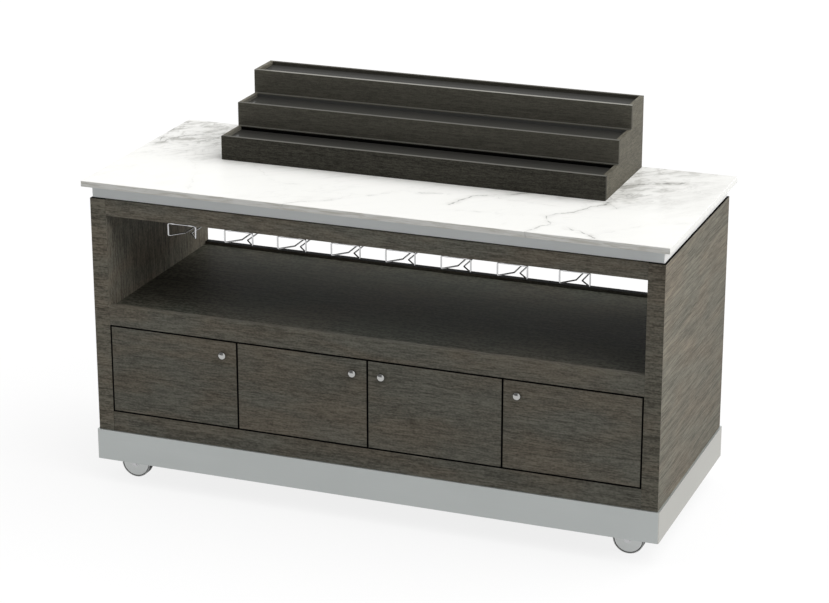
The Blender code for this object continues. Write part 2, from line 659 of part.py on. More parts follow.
def build_riser():
    """Three trays in steps between stepped cheeks, with a back board, standing loose on the stone."""
    back = TOP_DEPTH / 2 - RISER_BACK_MARGIN
    front = back - TIER_COUNT * TIER_DEPTH
    base = add_axis("riser_base", (0, 0, COUNTER_HEIGHT + FIT))
    half = RISER_LENGTH / 2
    inner = half - RISER_BOARD - FIT
    for tier in range(TIER_COUNT):
        face = front + tier * TIER_DEPTH
        low = tier * TIER_HEIGHT + (FIT if tier else 0)
        rim = (tier + 1) * TIER_HEIGHT
        tread_top = rim - TREAD_RECESS
        board = box_mesh(f"riser_tier_{tier + 1}", (-half, half), (face, face + RISER_BOARD), (low, rim))
        tray = add_object(f"riser_tier_{tier + 1}", board, DARK_LAMINATE, parent=base)
        last = tier == TIER_COUNT - 1
        tread_end = back - RISER_BOARD - FIT if last else face + TIER_DEPTH + RISER_BOARD / 2
        tread = box_mesh(f"tread_{tier}", (-inner, inner), (face + RISER_BOARD / 2, tread_end),
                         (tread_top - TREAD_THICKNESS, tread_top))
        combine(tray, add_cutter(f"tread_{tier}", tread, parent=base), 'UNION')
        if not last:
            ledge = box_mesh(f"ledge_{tier}", (-inner, inner), (face + TIER_DEPTH - LEDGE, tread_end),
                             (tread_top - TREAD_THICKNESS, rim))
            combine(tray, add_cutter(f"ledge_{tier}", ledge, parent=base), 'UNION')

    steps = [(front + RISER_BOARD + FIT, 0)]
    for tier in range(TIER_COUNT):
        rim = (tier + 1) * TIER_HEIGHT
        start = front + tier * TIER_DEPTH + RISER_BOARD + FIT
        end = back if tier == TIER_COUNT - 1 else start + TIER_DEPTH
        steps += [(start, rim), (end, rim)]
    steps.append((back, 0))
    for name, side in (("riser_cheek_left", -1), ("riser_cheek_right", 1)):
        cheek = outline_mesh(name, steps, RISER_BOARD)
        cheek.transform(Matrix(((0, 0, 1, 0), (1, 0, 0, 0), (0, 1, 0, 0), (0, 0, 0, 1))))
        add_object(name, cheek, DARK_LAMINATE, (side * (half - RISER_BOARD / 2), 0, 0), base)
    rim = TIER_COUNT * TIER_HEIGHT
    board = box_mesh("riser_back", (-inner, inner), (back - RISER_BOARD, back), (0, rim))
    add_object("riser_back", board, DARK_LAMINATE, parent=base)


clear_scene()
PARTS = make_collection("portable_bar")
CUTTERS = make_collection("cutters")
STONE = make_material("white_stone", (0.86, 0.87, 0.85), 0.22)
LAMINATE = make_material("dark_oak_laminate", (0.075, 0.068, 0.058), 0.55)
DARK_LAMINATE = make_material("riser_laminate", (0.045, 0.042, 0.036), 0.55)
DARK_WOOD = make_material("black_plywood", (0.03, 0.03, 0.03), 0.7)
ALUMINIUM = make_material("brushed_aluminium", (0.40, 0.43, 0.47), 0.35, 1.0)
BRUSHED = make_material("brushed_steel", (0.42, 0.44, 0.44), 0.35, 1.0)
CHROME = make_material("chrome_wire", (0.70, 0.70, 0.70), 0.15, 1.0)
NICKEL = make_material("nickel_knob", (0.60, 0.60, 0.60), 0.2, 1.0)
STEEL = make_material("zinc_steel", (0.45, 0.45, 0.46), 0.4, 1.0)
WHEEL = make_material("grey_wheel", (0.40, 0.42, 0.41), 0.5)

door_plan = plan_doors()
build_top()
build_cabinet(door_plan)
build_doors(door_plan)
build_racks()
build_base()
build_skirt()
build_casters()
build_riser()
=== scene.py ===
"""Portable bar: finishes for its boards, stone and metal, and finer racks, knobs and casters."""
import math

import bmesh
import bpy
from mathutils import Matrix, Vector


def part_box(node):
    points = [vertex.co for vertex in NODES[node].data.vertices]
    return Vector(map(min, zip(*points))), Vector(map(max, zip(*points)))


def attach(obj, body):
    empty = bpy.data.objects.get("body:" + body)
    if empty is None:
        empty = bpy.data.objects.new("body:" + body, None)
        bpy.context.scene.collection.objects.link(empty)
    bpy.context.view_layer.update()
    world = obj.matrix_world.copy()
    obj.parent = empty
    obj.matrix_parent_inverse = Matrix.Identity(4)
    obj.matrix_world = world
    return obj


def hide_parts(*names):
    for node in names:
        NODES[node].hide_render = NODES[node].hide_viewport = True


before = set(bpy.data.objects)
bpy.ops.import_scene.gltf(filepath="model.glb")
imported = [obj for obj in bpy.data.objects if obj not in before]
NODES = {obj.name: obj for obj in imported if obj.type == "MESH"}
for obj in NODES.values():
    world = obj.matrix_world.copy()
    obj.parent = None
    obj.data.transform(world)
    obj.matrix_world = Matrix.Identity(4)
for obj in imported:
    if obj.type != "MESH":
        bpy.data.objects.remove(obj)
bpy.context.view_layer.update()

CORNERS = ("front_left", "front_right", "rear_left", "rear_right")
DOORS = range(1, 5)
RACKS = range(1, 9)

# Racks, in metres: the wire and its bends, its drop below the solid rack's tabs, and the slot for stems
WIRE = 0.00225
WIRE_BEND = 0.0050
TAB_THICK = 0.002
WIRE_DROP = 0.0012
SLOT_HALF = 0.009
THROAT_DEPTH = 0.043
RACK_DEPTH = 0.330

# Straps that hold the racks, in metres, and how far aside the front two stand, as a share of half the mouth
STRAP_THICK = 0.0008
STRAP_WIDTH = 0.012
STRAP_PLAY = 0.0001
STRAP_GAP = 0.0016
STRAP_FOOT = 0.0150
STRAP_SCREW = 0.0100
STRAP_SCREW_HEAD = (0.0036, 0.0016)
STRAP_ASIDE = 0.645

# Knobs, in metres: the dome, the gap to the door, the screw, the radius and height of the screw's head, and
# how far its seat lies inside the solid knob's end
KNOB_DOME = 0.0085
KNOB_GAP = 0.0003
KNOB_SCREW_RADIUS = 0.0020
KNOB_SCREW_LENGTH = 0.0190
KNOB_SCREW_HEAD = (0.0044, 0.0022)
KNOB_SCREW_SEAT = 0.0026

# Wheels, in metres: bore and hub, and half the thickness of the hub, of the disc and of the tread
WHEEL_BORE = 0.0063
HUB_RADIUS = 0.0108
HUB_HALF = 0.0167
DISC_HALF = 0.0136
TREAD_HALF = 0.0134

# Stone: the light colour of its top and long edges, painted light on its short edges, and the colours of its
# shade and veins
STONE_TOP = (0.895, 0.893, 0.866)
STONE_LONG_EDGE = (0.905, 0.902, 0.868)
STONE_SHORT_EDGE_PAINTED_LIGHT = (0.970, 0.968, 0.935)
STONE_SHADE = (0.48, 0.474, 0.445)
STONE_STROKE = (0.63, 0.605, 0.53)
STONE_VEIN = (0.19, 0.19, 0.178)

# How the stone's bedding is turned, in radians
STONE_BEDDING = (0.3, 0.2, -0.72)

# Oak laminate: its darkest and lightest wood, and the black painted as shade on the edges in its gaps
OAK_DARK = (0.086, 0.0800, 0.0665)
OAK_LIGHT = (0.227, 0.2115, 0.1760)
PAINTED_GAP_SHADE = (0.001, 0.001, 0.001)

# How the sides' grain differs from the other boards'
SIDE_OAK = {'contrast': 1.25, 'fine': 0.75, 'drawn': 2.6,
            'cool': (0.99, 1.0, 0.97), 'warm': (1.05, 0.99, 0.93)}

# Main veins of the stone: how strong each is, and the points it wanders between, in metres
VEINS = ((1.0, (0.60, 0.15), (0.70, 0.20), (0.78, 0.25)),
         (0.6, (0.63, -0.01), (0.66, -0.08)),
         (0.8, (0.64, -0.03), (0.56, -0.16), (0.50, -0.22), (0.525, -0.28), (0.49, -0.39)),
         (0.8, (0.58, -0.30), (0.70, -0.36)),
         (0.9, (0.42, 0.02), (0.32, -0.06), (0.24, -0.11), (0.20, -0.20)),
         (0.4, (0.28, -0.09), (0.40, -0.11), (0.54, -0.10)),
         (0.6, (0.16, -0.12), (0.03, -0.11), (-0.03, -0.19), (-0.09, -0.21), (-0.14, -0.29)),
         (0.5, (-0.13, -0.30), (-0.22, -0.33), (-0.27, -0.40)),
         (0.4, (0.23, -0.25), (0.37, -0.23)),
         (0.35, (0.68, -0.34), (0.80, -0.19), (0.93, -0.12)),
         (0.8, (-0.90, 0.34), (-0.905, 0.20), (-0.89, 0.07)),
         (0.9, (-0.88, 0.10), (-0.84, 0.19), (-0.74, 0.27)),
         (0.3, (-0.74, 0.04), (-0.62, -0.18), (-0.56, -0.39)),
         (0.3, (-0.50, -0.03), (-0.40, -0.15), (-0.30, -0.18)),
         (0.7, (-0.45, 0.36), (-0.20, 0.20), (0.10, 0.14), (0.25, 0.03)))


class Value:
    """A socket of a finish, which takes plain arithmetic."""

    def __init__(self, finish, socket):
        self.finish = finish
        self.socket = socket

    def _math(self, operation, first, second):
        return self.finish.node('Math', {0: first, 1: second}, operation=operation)

    def __add__(self, other):
        return self._math('ADD', self, other)

    __radd__ = __add__

    def __sub__(self, other):
        return self._math('SUBTRACT', self, other)

    def __rsub__(self, other):
        return self._math('SUBTRACT', other, self)

    def __mul__(self, other):
        return self._math('MULTIPLY', self, other)

    __rmul__ = __mul__

    def __truediv__(self, other):
        return self._math('DIVIDE', self, other)

    def __abs__(self):
        return self.finish.node('Math', {0: self}, operation='ABSOLUTE')


class Graph:
    """A node tree that is written as plain expressions."""

    def __init__(self, tree):
        self.tree = tree

    def node(self, kind, sockets=None, out=0, **settings):
        """Adds a node: settings first, then the values or links of its sockets."""
        made = self.tree.nodes.new("ShaderNode" + kind)
        for label, value in settings.items():
            setattr(made, label, value)
        for label, value in (sockets or {}).items():
            if isinstance(value, Value):
                self.tree.links.new(value.socket, made.inputs[label])
            else:
                made.inputs[label].default_value = value
        return Value(self, made.outputs[out])

    def clip(self, value, low, high):
        """0 below low and 1 above high, smooth between them."""
        return self.node('MapRange', {'Value': value, 'From Min': low, 'From Max': high},
                         interpolation_type='SMOOTHSTEP')

    def mix(self, factor, first, second, **settings):
        """The first colour where the factor is 0, and the second where it is 1."""
        sides = {0: factor, 6: self._colour(first), 7: self._colour(second)}
        return self.node('Mix', sides, out=2, data_type='RGBA', **settings)

    @staticmethod
    def _colour(value):
        return (*value, 1) if isinstance(value, tuple) else value

    def seen_directly(self):
        """1 for what is seen straight, in a mirror or through glass, and 0 for what only gives light."""
        rays = [self.node('LightPath', out=f"Is {kind} Ray") for kind in ("Camera", "Glossy", "Transmission")]
        return self.clip(rays[0] + rays[1] + rays[2], 0.0, 1.0)


class Finish(Graph):
    """A Principled material whose patterns follow the piece's own coordinates."""

    def __init__(self, name, **plain):
        self.material = bpy.data.materials.new(name)
        self.material.use_nodes = True
        super().__init__(self.material.node_tree)
        self.shader = self.tree.nodes["Principled BSDF"]
        for label, value in plain.items():
            self.shader.inputs[label.replace("_", " ").title().replace("Ior", "IOR")].default_value = value
        self.place = self.node('TexCoord', out='Object')

    def stretched(self, size, shift=(0, 0, 0)):
        """The piece's coordinates, divided by a pattern's size in metres along each axis."""
        scale = tuple(1 / length for length in size)
        return self.node('Mapping', {'Vector': self.place, 'Location': shift, 'Scale': scale})

    def noise(self, size, detail=2.0, rough=0.5, warp=0.0, shift=(0, 0, 0)):
        """Noise of a size in metres along each axis."""
        return self.node('TexNoise', {'Vector': self.stretched(size, shift), 'Scale': 1.0, 'Detail': detail,
                                      'Roughness': rough, 'Distortion': warp})

    def tinted(self, colour, tint):
        """A colour multiplied by another."""
        return self.mix(1.0, colour, tint, blend_type='MULTIPLY')

    def scaled(self, colour, level):
        """A colour made brighter or darker by a value or a plain number."""
        if isinstance(level, Value):
            return self.node('VectorMath', {0: colour, 3: level}, operation='SCALE')
        return colour if level == 1.0 else self.tinted(colour, (level, level, level))

    def facing(self, axis):
        """How far the surface faces along an axis of the piece, from -1 to 1."""
        normal = self.node('TexCoord', out='Normal')
        return self.node('SeparateXYZ', {0: normal}, out="XYZ".index(axis))

    def along(self, axis):
        """The place along an axis of the piece, in metres."""
        return self.node('SeparateXYZ', {0: self.place}, out="XYZ".index(axis))

    def paint(self, socket, value):
        """Feeds a value or a colour to a socket of the material."""
        self.tree.links.new(value.socket, self.shader.inputs[socket])

    def bump(self, height, distance, strength=1.0):
        """Relief of a height that varies from 0 to 1, over a distance in metres."""
        normal = self.node('Bump', {'Height': height, 'Distance': distance, 'Strength': strength})
        self.paint('Normal', normal)


def grain(finish, axis, shift, fine=1.0, drawn=1.0):
    """Open oak grain along an axis: tone from 0 to 1, and the depth of its pores. Drawn grain is longer."""
    def layer(length, width, detail=1.0, rough=0.5, warp=0.0):
        """Noise of a length along the grain and a width across it, in metres."""
        size = [width * fine] * 3
        size["XYZ".index(axis)] = length * fine * drawn
        return finish.noise(size, detail, rough, warp, shift)

    bands = layer(0.80, 0.050, detail=2.0, warp=0.5)
    streaks = layer(0.15, 0.0100, detail=3.0, rough=0.65, warp=0.3)
    dashes = layer(0.040, 0.0050, detail=2.0, rough=0.6, warp=0.2)
    lines = layer(0.09, 0.0019, detail=2.0, rough=0.6)
    specks = layer(0.008, 0.0045)
    flecks = finish.clip(layer(0.030, 0.0040), 0.62, 0.76)
    pores = finish.clip(layer(0.026, 0.0011), 0.37, 0.27)
    tone = 0.5 + (bands - 0.5) * 0.35 + (streaks - 0.5) * 0.70 + (dashes - 0.5) * 1.15 + (lines - 0.5) * 0.6
    tone = tone + (specks - 0.5) * 0.75 / drawn
    return tone + flecks * 0.20 - pores * 0.20, pores


def side_grain(finish, way, shift, edges, fine, drawn):
    """Tone, pores and painted light level of a side panel, and its inner face.

    Way is 1 or -1 as its outer face looks along X. Each face has the grain that its cut gives it. Painted
    light makes the outer face lighter towards its top and its front, and gives the inner face and the edges
    their own levels.
    """
    outward = finish.facing('X') * way
    outer = finish.clip(outward, 0.45, 0.55)
    inner = finish.clip(outward, -0.45, -0.55)
    edge = 1 - outer - inner
    along_depth, depth_pores = grain(finish, 'Y', shift, fine, drawn)
    upright, upright_pores = grain(finish, 'Z', shift)
    across, across_pores = grain(finish, 'X', shift)
    tone = along_depth * outer + upright * inner + across * edge
    pores = depth_pores * outer + upright_pores * inner + across_pores * edge
    # painted light: the outer face lighter towards its top and front, the inner face lighter
    lit = (0.89 + finish.along('Z') * 0.330) * (1.0 - finish.along('Y') * 0.27)
    return tone, pores, outer * lit + inner * 1.17 + edge * edges, inner


def beside_door(finish, inner):
    """Where a side panel is painted black as shade: on its inner face beside a door, and on its top edge."""
    low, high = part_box("door_1")
    beside = finish.clip(finish.along('Z'), high.z + 0.004, high.z + 0.003)
    beside = beside * finish.clip(finish.along('Y'), high.y + 0.002, high.y)
    return inner * beside + finish.clip(finish.facing('Z'), 0.5, 0.7)


def door_edges(finish, door):
    """Where a door is painted black as shade: on its edges, and on the thin line that frames its face."""
    face = finish.clip(abs(finish.facing('Y')), 0.5, 0.7)
    low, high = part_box(door)
    for axis, start, end in (('X', low.x, high.x), ('Z', low.z, high.z)):
        place = finish.along(axis)
        face = face * finish.clip(place, start + 0.0009, start + 0.0012)
        face = face * finish.clip(place, end - 0.0009, end - 0.0012)
    return 1 - face


def oak_laminate(name, axis, shift, board=None, gap=None, painted_light_level=1.0, painted_shade_right=0.0, edges=1.0, contrast=1.0,
                 fine=1.0, drawn=1.0, cool=(0.96, 1.0, 1.0), warm=(1.045, 0.995, 0.94)):
    """Grey-brown oak laminate, with black painted as shade where the doors' gaps are.

    A board is a side panel, given as the way its outer face looks. A gap is the name of a door, or the axis
    and way of the edge that is painted black as shade, as those beside a door are. A painted light level
    makes a piece lighter or darker, and a piece with painted shade to the right is darker towards its right
    end.
    """
    finish = Finish(name, specular_ior_level=0.04, ior=1.5)
    black = None
    if board:
        tone, pores, level, inner = side_grain(finish, board, shift, edges, fine, drawn)
        black = beside_door(finish, inner)
    else:
        tone, pores = grain(finish, axis, shift, fine, drawn)
        # painted light and shade: the board's level, darker to its right with painted shade
        level = painted_light_level * (1.0 - finish.along('X') * painted_shade_right) if painted_shade_right else painted_light_level
    if isinstance(gap, str):
        black = door_edges(finish, gap)
    elif gap:
        along, way = gap
        black = finish.clip(finish.facing(along) * way, 0.5, 0.7)
    tone = 0.5 + (tone - 0.5) * contrast
    wood = finish.mix(finish.clip(tone, 0.02, 0.98), OAK_DARK, OAK_LIGHT)
    tint = finish.clip(finish.noise((0.30, 0.30, 0.09), 2.0, 0.5, 0.5, (4.1, 1.7, shift[2])), 0.35, 0.68)
    wood = finish.tinted(wood, finish.mix(tint, cool, warm))
    wood = finish.scaled(wood, level)
    rough = 0.56 + pores * 0.16 + (tone - 0.5) * 0.10
    # painted shade: black in the doors' gaps
    if black is not None:
        wood = finish.mix(black, wood, PAINTED_GAP_SHADE)
        rough = rough * (1 - black) + black * 0.60
    finish.paint('Base Color', wood)
    finish.paint('Roughness', rough)
    finish.bump(tone * 0.4 - pores, 0.00022, 0.5)
    return finish


def riser_oak(name, axis, dark, light):
    """The riser's darker, finer laminate: the finish, its wood colour and its roughness."""
    finish = Finish(name, specular_ior_level=0.05, ior=1.5, coat_roughness=0.10)
    tone, pores = grain(finish, axis, (2.2, 0.4, 5.1), 0.6)
    wood = finish.mix(finish.clip(tone, 0.0, 1.0), dark, light)
    finish.bump(tone * 0.4 - pores, 0.00015, 0.4)
    return finish, wood, 0.55 + pores * 0.14 + (tone - 0.5) * 0.08


def tinged(level, green, blue):
    """A colour of a given red level, with green and blue as shares of it."""
    return level, level * green, level * blue


def riser_tray(number, dark, light, lip, back, tread_shade_levels, gloss):
    """A tray of the riser, its colours given as levels of red.

    Its wood lies between dark and light, and a painted highlight runs along the top of its front. The
    lacquered tread goes from the first level of its pair at the back to the second at the front, as painted
    shade. Back is the colour of the face behind the tread, painted dark as shade.
    The upper trays' fronts have a pale line along their foot.
    """
    shades = [tinged(level, 0.95, 0.77) for level in (dark, light)]
    finish, wood, rough = riser_oak(f"riser_oak_{number}", 'X', *shades)
    low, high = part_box(f"riser_tier_{number}")
    height = finish.along('Z')
    up = finish.clip(finish.facing('Z'), 0.5, 0.8)
    forward = finish.clip(finish.facing('Y'), -0.5, -0.8)
    at_rim = finish.clip(height, high.z - 0.004, high.z - 0.002)
    at_front = finish.clip(finish.along('Y'), low.y + 0.0125, low.y + 0.0115)
    # painted highlight: the top of the front edge is lighter, more so towards the right
    lip_highlight = up * at_rim * at_front * (0.45 + finish.clip(finish.along('X'), low.x, low.x + 0.10) * 0.55)
    wood = finish.mix(lip_highlight, wood, tinged(lip, 0.985, 0.89))
    tread = up * (1 - at_rim)
    # painted shade: the tread darker towards its back
    reach = finish.clip(finish.along('Y'), high.y - 0.040, low.y + 0.020)
    wood = finish.mix(tread, wood, finish.mix(reach, *[tinged(level, 0.98, 0.89) for level in tread_shade_levels]))
    finish.paint('Coat Weight', tread * gloss)
    # painted shade: the face behind the tread
    wood = finish.mix(forward * (1 - at_front), wood, tinged(back, 1.0, 0.95))
    if number > 1:
        line = forward * at_front * finish.clip(height, low.z + 0.0036, low.z + 0.0024)
        wood = finish.mix(line, wood, (0.27, 0.265, 0.235))
    finish.paint('Base Color', wood)
    finish.paint('Roughness', rough)
    return finish


def riser_cheek(side, way, inner):
    """An end cheek with painted light: a little lighter towards its top, and darker or lighter inside the two
    lower trays.
    """
    dark, light = (0.066, 0.061, 0.048), (0.178, 0.166, 0.132)
    finish, wood, rough = riser_oak(f"riser_cheek_oak_{side}", 'Y', dark, light)
    height = finish.along('Z')
    # painted light: lighter towards the top
    wood = finish.scaled(wood, 0.87 + (height - 1.0) * 1.30)
    # painted light and shade on the inner face in the two lower trays
    inside = finish.clip(finish.facing('X') * way, 0.5, 0.7)
    first, second = [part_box(f"riser_tier_{number}")[1].z for number in (1, 2)]
    for top, level in zip((second, first), inner):
        below = inside * finish.clip(height, top + 0.004, top + 0.001)
        wood = finish.mix(below, wood, tinged(level, 0.95, 0.8))
    finish.paint('Base Color', wood)
    finish.paint('Roughness', rough)
    return finish


def riser_back():
    """The dark board at the riser's back."""
    finish, wood, rough = riser_oak("riser_back_oak", 'X', (0.051, 0.048, 0.039), (0.091, 0.086, 0.070))
    finish.paint('Base Color', wood)
    finish.paint('Roughness', rough)
    return finish


def drawn_veins(finish):
    """Dark cores and the grey haze beside them, of the veins that wander along the lines of VEINS."""
    bent = finish.node('VectorMath', {0: finish.place, 1: (1, 1, 0)}, operation='MULTIPLY')
    for size, reach, detail in ((0.11, 0.060, 2.0), (0.022, 0.022, 3.0)):
        moved = finish.node('VectorMath', {0: finish.place, 3: 1 / size}, operation='SCALE')
        drift = finish.node('TexNoise', {'Vector': moved, 'Scale': 1.0, 'Detail': detail}, out='Color')
        bent = finish.node('VectorMath', {0: drift, 1: (reach, reach, 0), 2: bent}, operation='MULTIPLY_ADD')
        bent = finish.node('VectorMath', {0: bent, 1: (reach / 2, reach / 2, 0)}, operation='SUBTRACT')

    def apart(start, end):
        """How far a place is from a straight run of a vein."""
        run = Vector(end) - Vector(start)
        away = finish.node('VectorMath', {0: bent, 1: (*start, 0)}, operation='SUBTRACT')
        ahead = (*(run / run.length_squared), 0)
        share = finish.node('VectorMath', {0: away, 1: ahead}, out='Value', operation='DOT_PRODUCT')
        share = finish.node('Math', {0: share, 1: 0.0}, operation='ADD', use_clamp=True)
        nearest = finish.node('VectorMath', {0: (*run, 0), 3: share}, operation='SCALE')
        return finish.node('VectorMath', {0: away, 1: nearest}, out='Value', operation='DISTANCE')

    cores = 0.0
    haze = 0.0
    for strength, *points in VEINS:
        nearest = None
        for pair in zip(points, points[1:]):
            distance = apart(*pair)
            if nearest is None:
                nearest = distance
            else:
                nearest = finish.node('Math', {0: nearest, 1: distance}, operation='MINIMUM')
        cores = cores + finish.clip(nearest, 0.0016 + 0.0036 * strength, 0.0002) * strength
        haze = haze + finish.clip(nearest, 0.028, 0.0) * strength
    return cores, haze


def honed_marble():
    """White marble: soft grey clouds, veins that wander and break, and denser patches at the rear."""
    finish = Finish("honed_white_marble", roughness=0.36, specular_ior_level=0.06, ior=1.5)
    place = finish.node('Mapping', {'Vector': finish.place, 'Rotation': STONE_BEDDING})

    def field(length, width, detail, rough, warp, shift):
        """Noise drawn out along the stone's bedding."""
        moved = finish.node('Mapping', {'Vector': place, 'Location': shift,
                                        'Scale': (1 / length, 1 / width, 1 / width)})
        return finish.node('TexNoise', {'Vector': moved, 'Scale': 1.0, 'Detail': detail, 'Roughness': rough,
                                        'Distortion': warp})

    def ridge(value, width):
        """Thin lines where a field passes its middle."""
        return 1 - finish.clip(abs(value - 0.5), 0.0, width)

    along = finish.along('X')
    depth = finish.along('Y')
    by_riser = finish.clip(along, 0.96, 0.62) * finish.clip(depth, -0.10, 0.08)
    rear_left = finish.clip(along, -0.45, -0.70) * finish.clip(depth, 0.04, 0.20)
    rear_right = finish.clip(along, 0.55, 0.65) * finish.clip(depth, -0.16, 0.02)
    dense = by_riser * 0.9 + rear_left * 0.34
    clouds = finish.clip(field(0.36, 0.16, 5.0, 0.62, 1.0, (3.0, 1.0, 0.5)), 0.44, 0.70)
    wisps = finish.clip(field(0.12, 0.035, 4.0, 0.6, 0.8, (0.4, 5.0, 2.5)), 0.46, 0.70)
    mottle = finish.clip(field(0.050, 0.036, 6.0, 0.70, 1.0, (7.7, 2.3, 6.1)), 0.44, 0.66)
    fine_field = field(0.26, 0.12, 5.0, 0.58, 0.6, (1.3, 8.2, 4.4))
    broken = 0.25 + finish.clip(field(0.06, 0.05, 4.0, 0.6, 0.4, (5.5, 3.1, 2.0)), 0.38, 0.60) * 0.75
    sparse = finish.clip(field(0.34, 0.30, 3.0, 0.5, 0.3, (9.5, 6.1, 7.0)), 0.46, 0.62)
    cores, haze = drawn_veins(finish)
    threads = ridge(fine_field, 0.020) * sparse * (0.25 + dense * 0.50)
    edge = 1 - finish.clip(finish.facing('Z'), 0.5, 0.7)
    strokes = finish.noise((0.085, 0.085, 0.007), 4.0, 0.6, 0.5, (1.9, 0.4, 3.3))
    strokes = finish.clip(strokes, 0.42, 0.66) * edge
    shade = clouds * (0.10 + dense * 0.23) + wisps * (0.08 + dense * 0.28) + mottle * (0.04 + dense * 0.38)
    shade = shade + haze * 0.34 * broken + rear_right * (1 - edge) * 0.21
    side = finish.clip(abs(finish.facing('X')), 0.5, 0.7)
    light = finish.mix(edge, STONE_TOP, STONE_LONG_EDGE)
    # painted light: the short edges are lighter
    light = finish.mix(side, light, STONE_SHORT_EDGE_PAINTED_LIGHT)
    stone = finish.mix(finish.clip(shade, 0.0, 1.0), light, STONE_SHADE)
    stone = finish.mix(strokes * (1 - side) * 0.70, stone, STONE_STROKE)
    dark = finish.clip(cores * broken * 0.75 + threads * 0.6, 0.0, 1.0) * (1 - edge * 0.7)
    finish.paint('Base Color', finish.mix(dark, stone, STONE_VEIN))
    return finish


def brushed_metal(name, colour, rough, lines=0.10, metallic=1.0, end_light_tint=None):
    """Sheet metal with fine level brush lines that run round the bar, and painted light: a tint for each end
    of the bar.

    Less metallic is a duller, milky skin.
    """
    finish = Finish(name, metallic=metallic)
    strokes = finish.noise((0.11, 0.11, 0.0007), 2.0, 0.6)
    fine = finish.noise((0.03, 0.03, 0.00025), 1.0, 0.5)
    patches = finish.noise((0.35, 0.35, 0.12), 2.0, 0.5)
    level = (strokes - 0.5) * lines + (fine - 0.5) * lines * 0.7 + (patches - 0.5) * 0.10
    dark = tuple(0.86 * part for part in colour)
    light = tuple(1.10 * part for part in colour)
    sheet = finish.mix(finish.clip(level, -0.12, 0.14), dark, light)
    # painted light: the end faces of the bar are tinted lighter or darker
    if end_light_tint:
        sheet = finish.mix(finish.clip(abs(finish.facing('X')), 0.5, 0.7), sheet, finish.tinted(sheet, end_light_tint))
    finish.paint('Base Color', sheet)
    finish.paint('Roughness', rough + level * 0.6)
    finish.bump(strokes + fine * 0.5, 0.00002, 0.35)
    return finish


def plated_metal(name, colour, rough, spots=0.02):
    """Bright plating with faint smears."""
    finish = Finish(name, metallic=1.0)
    smears = finish.noise((spots, spots, spots), 3.0, 0.6)
    dark = tuple(0.9 * part for part in colour)
    finish.paint('Base Color', finish.mix(smears, dark, colour))
    finish.paint('Roughness', rough * 0.7 + smears * rough * 0.6)
    return finish


def tread_rubber():
    """Rubber with a fine pebbled skin, pale on the wheel's side walls, and painted dark as shade where it
    runs.
    """
    finish = Finish("tread_rubber", specular_ior_level=0.2)
    pebbles = finish.noise((0.0012, 0.0012, 0.0012), 2.0, 0.5)
    scuffs = finish.noise((0.03, 0.03, 0.03), 3.0, 0.6)
    # painted shade: the running face is dark
    running = finish.mix(scuffs, (0.050, 0.051, 0.051), (0.080, 0.082, 0.082))
    wall = finish.clip(abs(finish.facing('Y')), 0.50, 0.80)
    finish.paint('Base Color', finish.mix(wall, running, (0.560, 0.568, 0.560)))
    finish.paint('Metallic', wall * 0.55)
    finish.paint('Roughness', 0.62 + (scuffs - 0.5) * 0.16)
    finish.bump(pebbles, 0.00005, 0.5)
    return finish


def painted_board(name, colour):
    """Black stained plywood with a faint grain."""
    finish = Finish(name, specular_ior_level=0.3)
    tone, pores = grain(finish, 'X', (0.3, 2.0, 1.0))
    light = tuple(1.7 * part for part in colour)
    finish.paint('Base Color', finish.mix(tone, colour, light))
    finish.paint('Roughness', 0.68 + pores * 0.1)
    finish.bump(tone, 0.0001, 0.4)
    return finish


def dress(finish, *names):
    """Gives CAD nodes a finish through their own material slots."""
    for name in names:
        for slot in NODES[name].material_slots:
            slot.material = finish.material


def new_piece(name, shape, finish, body, smooth=30):
    """Makes an object of a bmesh, at the origin, riding on a body."""
    bmesh.ops.recalc_face_normals(shape, faces=shape.faces)
    mesh = bpy.data.meshes.new(name)
    shape.to_mesh(mesh)
    shape.free()
    mesh.shade_smooth()
    mesh.set_sharp_from_angle(angle=math.radians(smooth))
    mesh.materials.append(finish.material)
    piece = bpy.data.objects.new(name, mesh)
    bpy.context.scene.collection.objects.link(piece)
    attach(piece, body)
    return piece


def turned(shape, section, place, steps=48):
    """Spins a section, given as radius and height along Z, into a closed turned form."""
    corners = [shape.verts.new((radius, 0, height)) for radius, height in section]
    edges = [shape.edges.new(pair) for pair in zip(corners, corners[1:])]
    if section[0][0] > 0 and section[-1][0] > 0:
        edges.append(shape.edges.new((corners[-1], corners[0])))
    before = set(shape.verts) - set(corners)
    bmesh.ops.spin(shape, geom=corners + edges, cent=(0, 0, 0), axis=(0, 0, 1), angle=math.tau, steps=steps,
                   use_merge=True)
    made = [vert for vert in shape.verts if vert not in before]
    bmesh.ops.remove_doubles(shape, verts=made, dist=0.000002)
    made = [vert for vert in shape.verts if vert not in before]
    bmesh.ops.transform(shape, matrix=place, verts=made)


def rounded(section, radius, steps=3):
    """A section with its inner corners eased by short arcs."""
    eased = [section[0]]
    for before, corner, after in zip(section, section[1:], section[2:]):
        corner = Vector(corner)
        back = Vector(before) - corner
        ahead = Vector(after) - corner
        reach = min(radius, back.length * 0.45, ahead.length * 0.45)
        start = corner + back.normalized() * reach
        end = corner + ahead.normalized() * reach
        for step in range(steps + 1):
            share = step / steps
            point = (1 - share) ** 2 * start + 2 * share * (1 - share) * corner + share ** 2 * end
            eased.append((point.x, point.y))
    eased.append(section[-1])
    return eased


